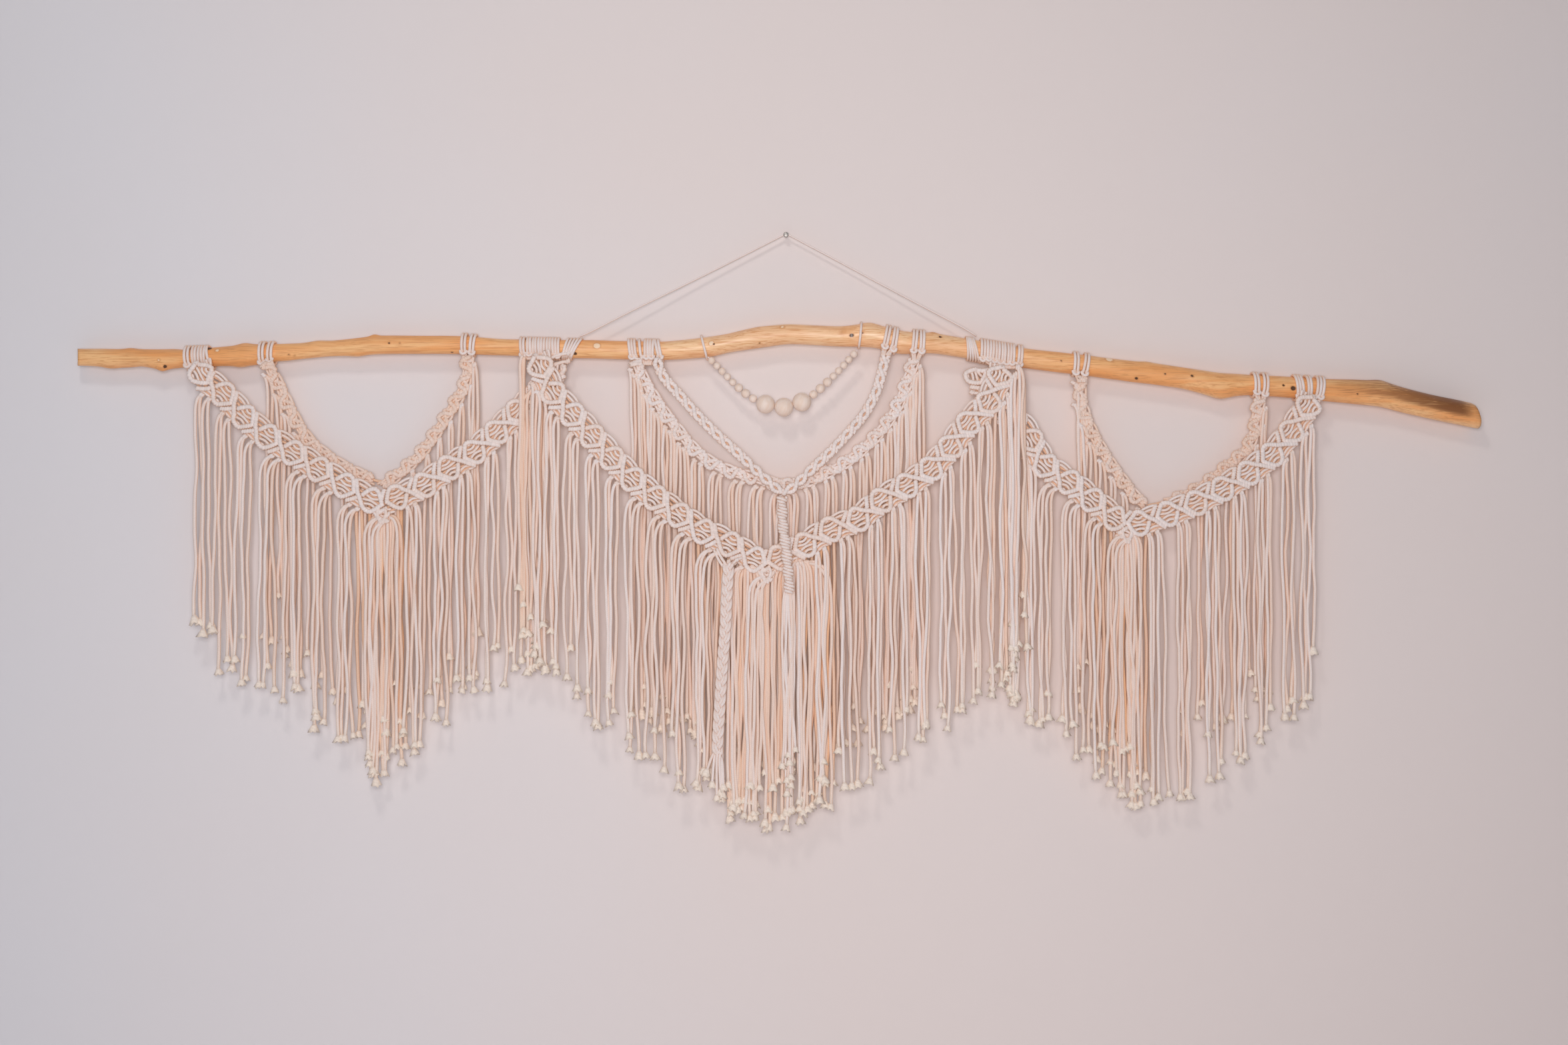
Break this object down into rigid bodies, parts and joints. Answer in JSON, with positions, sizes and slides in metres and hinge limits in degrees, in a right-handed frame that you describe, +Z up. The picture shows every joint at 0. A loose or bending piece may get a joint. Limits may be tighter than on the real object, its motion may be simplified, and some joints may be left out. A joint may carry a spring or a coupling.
{
  "type": "macrame wall hanging on a branch",
  "caption": "Wide wall hanging of knotted cotton swags with long fringe, a bead garland and a braid, on a crooked branch that hangs by cord from a wall screw.",
  "frame": {"origin": "middle of the screw's flat end, on the wall plane", "axes": "+X to the right along the branch, +Y into the wall, +Z up"},
  "size_m": [2.102, 0.0638, 0.9125],
  "materials": {
    "cotton_cord": "undyed cotton cord with a soft fuzz",
    "branch_wood": "peeled branch, honey brown with a thin gloss",
    "bead_wood": "bare turned wood",
    "screw_steel": "zinc plated"
  },
  "bodies": {
    "root": {"back_left_a": "cotton_cord", "back_left_b": "cotton_cord", "back_right_a": "cotton_cord", "back_right_b": "cotton_cord", "bead_big_1": "bead_wood", "bead_big_2": "bead_wood", "bead_big_3": "bead_wood", "beads_left": "bead_wood", "beads_right": "bead_wood", "braid": "cotton_cord", "branch": "branch_wood", "centre_a": "cotton_cord", "centre_b": "cotton_cord", "fringe_back_left_a": "cotton_cord", "fringe_back_left_b": "cotton_cord", "fringe_back_right_a": "cotton_cord", "fringe_back_right_b": "cotton_cord", "fringe_centre_a": "cotton_cord", "fringe_centre_b": "cotton_cord", "fringe_middle_a": "cotton_cord", "fringe_middle_b": "cotton_cord", "fringe_swag_left_a": "cotton_cord", "fringe_swag_left_b": "cotton_cord", "fringe_swag_right_a": "cotton_cord", "fringe_swag_right_b": "cotton_cord", "garland_cord": "cotton_cord", "garland_wrap_left": "cotton_cord", "garland_wrap_right": "cotton_cord", "hanger_strand_1": "cotton_cord", "hanger_strand_2": "cotton_cord", "hanger_wrap_left": "cotton_cord", "hanger_wrap_right": "cotton_cord", "inner_a": "cotton_cord", "inner_b": "cotton_cord", "loops_inner_left": "cotton_cord", "loops_inner_right": "cotton_cord", "loops_left_back_inner": "cotton_cord", "loops_left_back_outer": "cotton_cord", "loops_left_centre": "cotton_cord", "loops_left_outer": "cotton_cord", "loops_middle_right": "cotton_cord", "loops_right_back_inner": "cotton_cord", "loops_right_back_outer": "cotton_cord", "loops_right_centre": "cotton_cord", "loops_right_outer": "cotton_cord", "middle_a": "cotton_cord", "middle_b": "cotton_cord", "screw": "screw_steel", "sennit": "cotton_cord", "swag_left_a": "cotton_cord", "swag_left_b": "cotton_cord", "swag_right_a": "cotton_cord", "swag_right_b": "cotton_cord"}
  },
  "joints": []
}
